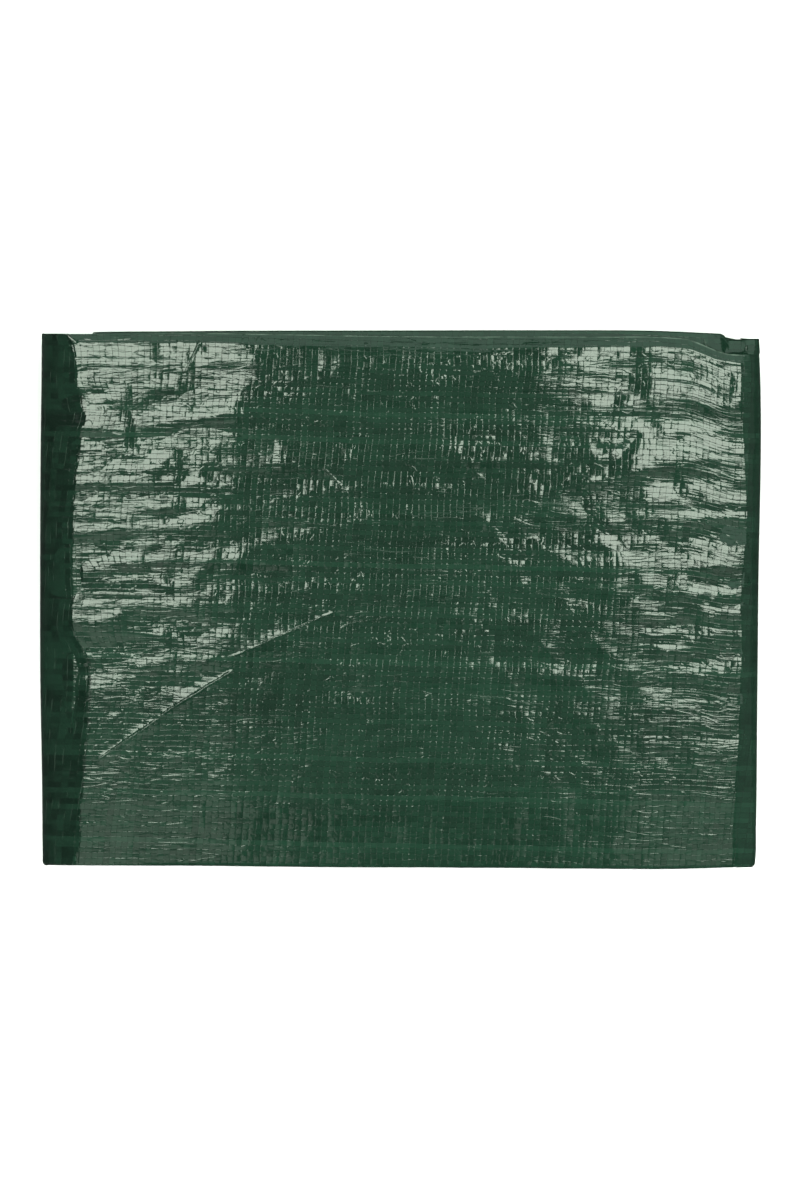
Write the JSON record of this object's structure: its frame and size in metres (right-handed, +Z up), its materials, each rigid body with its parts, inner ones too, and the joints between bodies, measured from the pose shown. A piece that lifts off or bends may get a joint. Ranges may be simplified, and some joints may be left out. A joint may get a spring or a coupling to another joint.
{
  "type": "folded rope ground sheet",
  "caption": "Flat-folded pack of green laminated woven polyethylene sheet for storing and flaking rope; its last fold opens like a book.",
  "frame": {"origin": "centre of the pack's footprint, on the surface it lies on", "axes": "+X along the long side of the pack, away from the last fold; +Y towards the hemmed edge of the strip; +Z up, out of the top panel"},
  "size_m": [0.285, 0.213, 0.03],
  "materials": {
    "sheet": "laminated woven polyethylene, glossy",
    "eyelet": "plain stamped",
    "patch": "matt"
  },
  "bodies": {
    "lower_leaf": {"sheet_panel_1": "sheet", "sheet_panel_8": "sheet", "sheet_panel_5": "sheet", "sheet_panel_4": "sheet", "corner_patches": "patch", "corner_eyelet_barrels": "eyelet", "corner_eyelet_washers": "eyelet"},
    "upper_leaf": {"sheet_panel_3": "sheet", "sheet_panel_6": "sheet", "sheet_panel_7": "sheet", "sheet_panel_2": "sheet", "side_eyelet_barrels": "eyelet", "side_eyelet_washers": "eyelet"}
  },
  "joints": [
    {"name": "last_fold", "type": "hinge", "parent": "lower_leaf", "child": "upper_leaf", "pos_m": [-0.14265, 0, 0.015], "axis": [0, -1, 0], "range_deg": [0, 179.9]}
  ]
}
